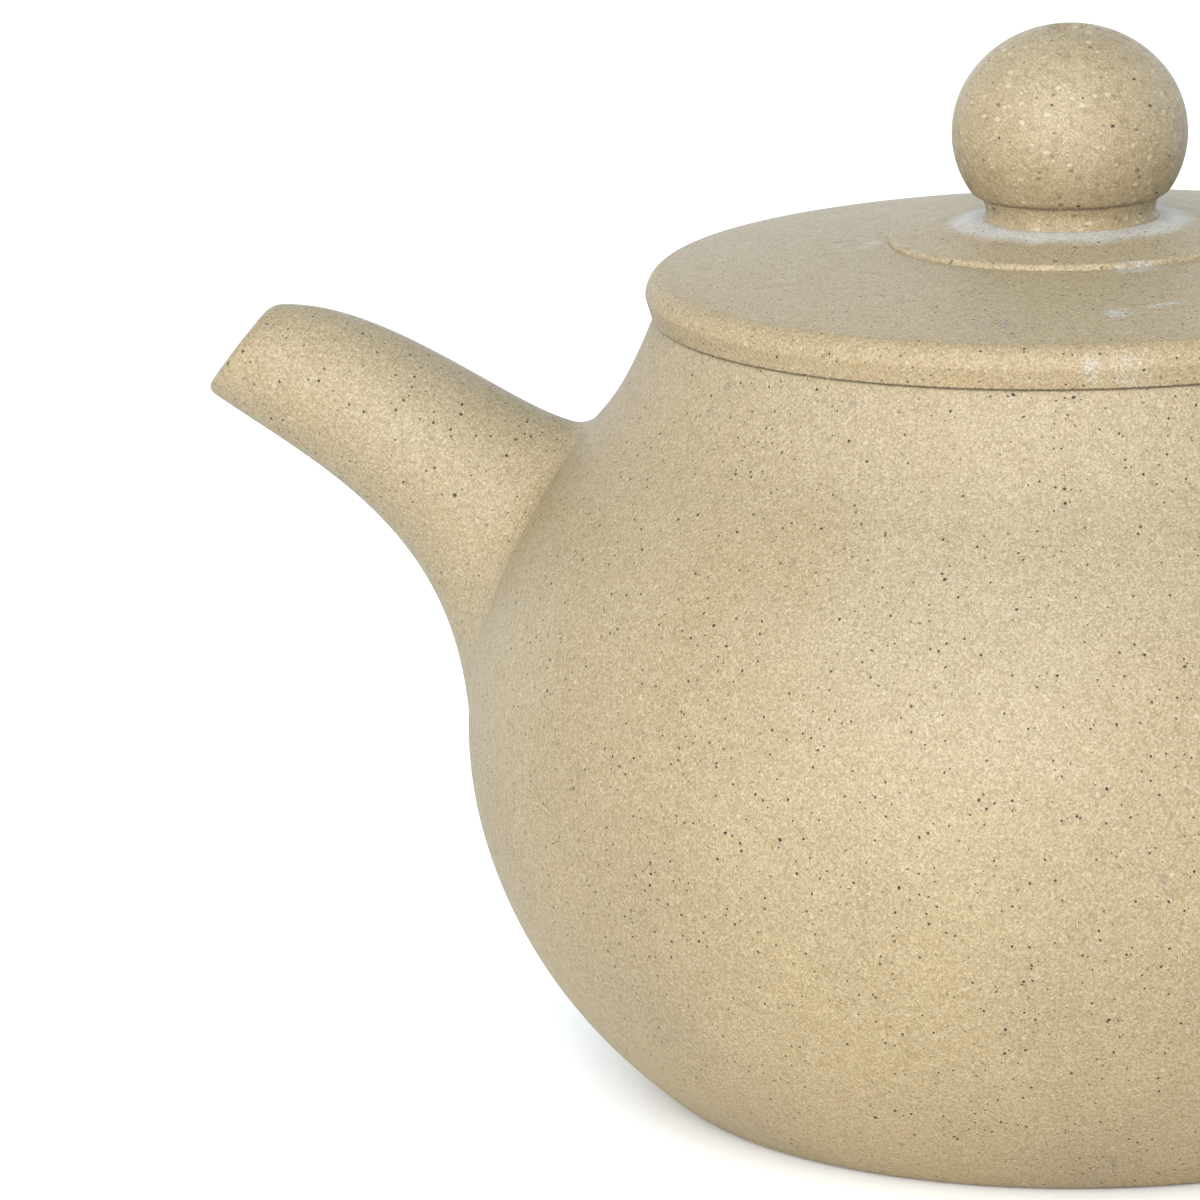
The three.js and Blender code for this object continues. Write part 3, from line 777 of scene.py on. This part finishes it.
def clay_material(
    name, grains=FINE_GRAINS, tone=1.0, mottling=0.2, grit=0.36, shine=0.36, squash=1.0, extras=()
):
    """Unglazed speckled clay, greyer towards the top as a painted sheen. Each extra is a function that adds a
    deposit, a stain, a painted sheen or a painted shade to the colour.
    """
    material = bpy.data.materials.new(name)
    material.use_nodes = True
    n = Nodes(material.node_tree)
    place = n.add("ShaderNodeTexCoord").outputs["Object"]
    _, height = radius_and_height(n, place)
    low, high = SHEEN_TINT_HEIGHTS
    # Warm towards the foot, greyer above: a painted sheen
    colour = n.mix(n.ramp(height, low * MM, high * MM), CLAY["low"], CLAY["high"])
    cloud = n.ramp(n.noise(place, CLOUD_SIZE, 3), 0.35, 0.7)
    colour = n.mix(cloud, colour, CLAY["deep"])
    if tone != 1.0:
        colour = n.mix(1.0, colour, (tone, tone, tone, 1), "MULTIPLY")
    for extra in extras:
        colour = extra(n, place, colour)
    mottle = n.ramp(n.noise(place, MOTTLE_SIZE, 3, 0.65), 0.45, 0.75)
    colour = n.mix(n.math("MULTIPLY", mottle, mottling), colour, CLAY["brown"])
    _, chance = n.cells(place, GRIT_SIZE)
    grit_colour = n.mix(chance[2], CLAY["tan"], CLAY["salt"])
    colour = n.mix(grit, colour, grit_colour)
    fine = n.noise(place, SHADE_SIZE, 2, 0.7)
    shade = n.scaled(n.ramp(fine, 0.3, 0.7), 0.5, 0.75)
    shades = n.add("ShaderNodeCombineColor", None, i0=shade, i1=shade, i2=shade).outputs[0]
    colour = n.mix(1.0, colour, shades, "MULTIPLY")
    proud = n.math("MULTIPLY", fine, 0.3)
    ragged = n.warped(place, 0.3, 0.09)
    if squash != 1.0:
        flat = {"i0": ragged, "i1": (1.0, 1.0, squash)}
        ragged = n.add("ShaderNodeVectorMath", {"operation": "MULTIPLY"}, **flat).outputs[0]
    for spacing, radius, share, strength, kind in grains:
        spots = n.grains(ragged, spacing, radius, share)
        colour = n.mix(n.math("MULTIPLY", spots, strength), colour, CLAY[kind])
        if kind in ("salt", "cream"):
            proud = n.math("ADD", proud, n.math("MULTIPLY", spots, 0.3))
    orange_peel = n.scaled(n.noise(place, PEEL_SIZE, 3, 0.55), 1.3, proud)
    bump = n.add("ShaderNodeBump", None, Strength=1.0, Distance=RELIEF * MM, Height=orange_peel)
    rough = n.scaled(n.noise(place, 1.6, 2), 0.16, 0.5)
    shader = n.add("ShaderNodeBsdfPrincipled", None, Base_Color=colour, Roughness=rough)
    n.feed(shader, "Normal", bump.outputs[0])
    shader.inputs["Specular IOR Level"].default_value = shine
    output = n.add("ShaderNodeOutputMaterial")
    n.tree.links.new(shader.outputs[0], output.inputs[0])
    return material


def radius_and_height(n, place):
    parts = n.add("ShaderNodeSeparateXYZ", None, i0=place).outputs
    flat = n.add("ShaderNodeCombineXYZ", None, i0=parts[0], i1=parts[1], i2=0.0)
    radius = n.add("ShaderNodeVectorMath", {"operation": "LENGTH"}, i0=flat.outputs[0])
    return radius.outputs["Value"], parts[2]


def band(n, value, low, rise, high, fall):
    """A soft band in millimetres from low to high, with a soft rise at its start and fall at its end."""
    up = n.ramp(value, low * MM, (low + rise) * MM)
    down = n.ramp(value, (high - fall) * MM, high * MM)
    return n.math("MULTIPLY", up, n.math("SUBTRACT", 1.0, down))


def lid_painted_sheen(n, place, colour):
    """Painted sheen: the lid's top painted paler and greyer than its warmer rim, over a warmer tone for the
    whole lid.
    """
    colour = n.mix(0.75, colour, CLAY["lid_warm"])
    _, height = radius_and_height(n, n.warped(place, 1.5, 0.12))
    return n.mix(n.ramp(height, (RIM_TOP - 0.1) * MM, (RIM_TOP + 0.12) * MM), colour, CLAY["painted_sheen"])


# The dust as a soft band of radii in millimetres: low, rise, high and fall
DUST_RING = (6.0, 0.2, 9.5, 1.9)


def powder_ring(n, place, colour):
    """White powder that stays in the hollow round the collar's foot. Its colour is brighter than white clay
    in full light: painted light against the knob's shade there.
    """
    radius, _ = radius_and_height(n, n.warped(place, 1.8, 0.5))
    patches = n.ramp(n.noise(place, 1.6, 3, 0.65), 0.3, 0.62)
    share = n.math("MULTIPLY", band(n, radius, *DUST_RING), n.scaled(patches, 0.4, 0.58))
    return n.mix(share, colour, CLAY["dust_and_painted_light"])


def mark(n, place, colour, kind, centre, size, angle, strength, speck):
    """A smudge or scuff on the lid: its place and size in millimetres, broken up into specks."""
    local = n.add(
        "ShaderNodeMapping",
        {"vector_type": "TEXTURE"},
        Vector=place,
        Location=(centre[0] * MM, centre[1] * MM, 0.0),
        Rotation=(0.0, 0.0, math.radians(angle)),
        Scale=(size[0] * MM, size[1] * MM, 1.0),
    )
    reach = n.add("ShaderNodeVectorMath", {"operation": "LENGTH"}, i0=local.outputs[0]).outputs["Value"]
    specks = n.ramp(n.noise(place, speck, 2, 0.7), 0.38, 0.56)
    share = n.math("MULTIPLY", n.ramp(reach, 1.0, 0.3), specks)
    return n.mix(n.math("MULTIPLY", share, strength), colour, CLAY[kind])


# Marks on the lid: kind, place, half size, angle in degrees, strength and size of its specks, in millimetres
LID_MARKS = [
    ("powder", (5.2, -23.4), (1.6, 1.3), 0, 1.0, 0.35),
    ("powder", (8.2, -21.2), (2.1, 0.5), 33, 1.0, 0.35),
    ("powder", (5.8, -12.5), (2.6, 1.1), 25, 0.95, 0.35),
    ("powder", (-14.5, -2.5), (2.2, 0.9), 60, 0.7, 0.35),
    ("powder", (4.0, -30.9), (0.9, 0.6), 0, 0.6, 0.22),
    ("powder", (6.6, -30.5), (2.2, 0.9), 12, 0.3, 0.22),
    ("rust", (6.9, -29.5), (0.5, 0.3), 0, 0.9, 0.9),
    ("lilac", (-3.1, -26.0), (1.7, 1.1), 0, 0.85, 0.9),
]


def lid_marks(n, place, colour):
    for lid_mark in LID_MARKS:
        colour = mark(n, place, colour, *lid_mark)
    return colour


def seam_painted_shade(n, place, colour):
    """Painted shade: the dark line where the lid's rim lies on the mouth."""
    _, height = radius_and_height(n, place)
    return n.mix(n.ramp(height, (SEAT_HEIGHT + 0.16) * MM, (SEAT_HEIGHT + 0.08) * MM), colour, CLAY["seam"])


def joint_stain(n, place, colour):
    """The darker line where the ball meets its collar."""
    _, height = radius_and_height(n, n.warped(place, 1.2, 0.08))
    patches = n.scaled(n.ramp(n.noise(place, 1.8, 2, 0.5), 0.3, 0.6), 0.45, 0.3)
    line = band(n, height, KNOB_SEAT - 0.22, 0.18, KNOB_SEAT + 0.3, 0.24)
    return n.mix(n.math("MULTIPLY", line, patches), colour, CLAY["joint"])


def plain_material(name, colour, roughness):
    material = bpy.data.materials.new(name)
    material.use_nodes = True
    shader = material.node_tree.nodes["Principled BSDF"]
    shader.inputs["Base Color"].default_value = colour
    shader.inputs["Roughness"].default_value = roughness
    return material


def dress(piece, material, body, slot, *nodes):
    """Gives a piece its finish and its body, and hides the CAD nodes that it stands for."""
    piece.data.materials.clear()
    piece.data.materials.append(material)
    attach(piece, body)
    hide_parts(*nodes)


# The camera: distance and height in metres, angles in degrees, lens in millimetres
CAMERA_TURN = 5.0
CAMERA_DISTANCE = 0.5
CAMERA_HEIGHT = 0.1561
CAMERA_PITCH = 13.503
CAMERA_YAW = -4.017
CAMERA_ROLL = -1.713
CAMERA_LENS = 209.18

# The soft lights: place and size in metres, power in watts
LIGHT_AIM = (0, 0, 0.035)
LIGHTS = [
    ("main_soft", (0.02, -1.27, 0.3), (0.9, 0.8), 17.8),
    ("left_soft", (-0.73, -1.04, 0.305), (0.8, 0.8), 6.8),
    ("upper_soft", (-0.12, -0.99, 0.87), (0.8, 0.8), 12.5),
    ("top_soft", (0.0, -0.33, 1.28), (0.8, 0.8), 3.5),
]
STUDIO_FRONT = (0.62, 0.64, 0.67, 1)
STUDIO_BACK = (2.15, 2.2, 2.25, 1)
STUDIO_TOP = (0.5, 0.66, 0.8, 1)
FLOOR_HALF = 3000
FLOOR_HEIGHT = -0.03


def add_camera():
    """The photograph's camera, fitted to the pot's outline."""
    turn = math.radians(CAMERA_TURN)
    place = Vector((CAMERA_DISTANCE * math.sin(turn), -CAMERA_DISTANCE * math.cos(turn), CAMERA_HEIGHT))
    pitch = math.radians(CAMERA_PITCH)
    yaw = math.radians(CAMERA_YAW) - turn
    roll = math.radians(CAMERA_ROLL)
    forward = Vector((math.sin(yaw) * math.cos(pitch), math.cos(yaw) * math.cos(pitch), -math.sin(pitch)))
    level = Vector((math.cos(yaw), -math.sin(yaw), 0))
    upright = level.cross(forward)
    right = math.cos(roll) * level + math.sin(roll) * upright
    up = -math.sin(roll) * level + math.cos(roll) * upright
    data = bpy.data.cameras.new("camera")
    data.sensor_width = 36
    data.lens = CAMERA_LENS
    data.clip_start = 0.01
    camera = bpy.data.objects.new("camera", data)
    camera.matrix_world = Matrix(
        (
            (right.x, up.x, -forward.x, place.x),
            (right.y, up.y, -forward.y, place.y),
            (right.z, up.z, -forward.z, place.z),
            (0, 0, 0, 1),
        )
    )
    bpy.context.scene.collection.objects.link(camera)
    bpy.context.scene.camera = camera


def add_light(name, place, size, power):
    data = bpy.data.lights.new(name, "AREA")
    data.shape = "RECTANGLE"
    data.size, data.size_y = size
    data.energy = power
    light = bpy.data.objects.new(name, data)
    light.location = place
    light.rotation_euler = (Vector(LIGHT_AIM) - Vector(place)).to_track_quat("-Z", "Y").to_euler()
    bpy.context.scene.collection.objects.link(light)


def add_world():
    world = bpy.data.worlds.new("studio")
    bpy.context.scene.world = world
    world.use_nodes = True
    n = Nodes(world.node_tree)
    direction = n.add("ShaderNodeTexCoord").outputs["Generated"]
    parts = n.add("ShaderNodeSeparateXYZ", None, i0=direction).outputs
    around = n.mix(n.ramp(parts[1], -0.2, 0.4), STUDIO_FRONT, STUDIO_BACK)
    colour = n.mix(n.ramp(parts[2], 0.25, 0.8), around, STUDIO_TOP)
    background = n.add("ShaderNodeBackground", None, Color=colour, Strength=1.0)
    output = n.add("ShaderNodeOutputWorld")
    n.tree.links.new(background.outputs[0], output.inputs[0])


def add_floor():
    signs = ((-1, -1), (1, -1), (1, 1), (-1, 1))
    corners = [(x * FLOOR_HALF, y * FLOOR_HALF, FLOOR_HEIGHT) for x, y in signs]
    floor = make_mesh("floor", corners, [(0, 1, 2, 3)])
    floor.data.materials.append(plain_material("floor_white", (0.9, 0.905, 0.9, 1), 0.6))


add_camera()
add_world()
add_floor()
for light in LIGHTS:
    add_light(*light)

body_clay = clay_material("body_clay")
# The lid's and pad's tops take a painted sheen, and the lid's rim a painted shade along its seam
lid_clay = clay_material("lid_clay", tone=0.98, extras=[lid_painted_sheen, lid_marks, seam_painted_shade])
pad_clay = clay_material("pad_clay", tone=0.98, extras=[lid_painted_sheen, powder_ring, lid_marks])
knob_clay = clay_material(
    "knob_clay", KNOB_GRAINS, tone=1.06, mottling=0.6, grit=0.24, shine=0.42, squash=1.5, extras=[joint_stain]
)

dress(make_body(), body_clay, "pot", "body_clay", "base_disc", "belly_wall", "shoulder_disc", "mouth_ring")
dress(make_spout(), body_clay, "pot", "body_clay", "spout")
dress(make_strainer(), body_clay, "pot", "body_clay", "strainer_ball")
dress(make_handle(), body_clay, "pot", "body_clay", "handle")
dress(make_lid_disc(), lid_clay, "lid", "lid_clay", "lid_disc")
dress(make_lid_flange(), lid_clay, "lid", "lid_clay", "lid_flange")
dress(make_lid_pad(), pad_clay, "lid", "lid_clay", "lid_pad")
dress(make_collar(), knob_clay, "lid", "knob_clay", "knob_collar")
dress(make_knob(), knob_clay, "lid", "knob_clay", "knob_ball")

scene = bpy.context.scene
scene.view_settings.view_transform = "Standard"
scene.view_settings.look = "None"
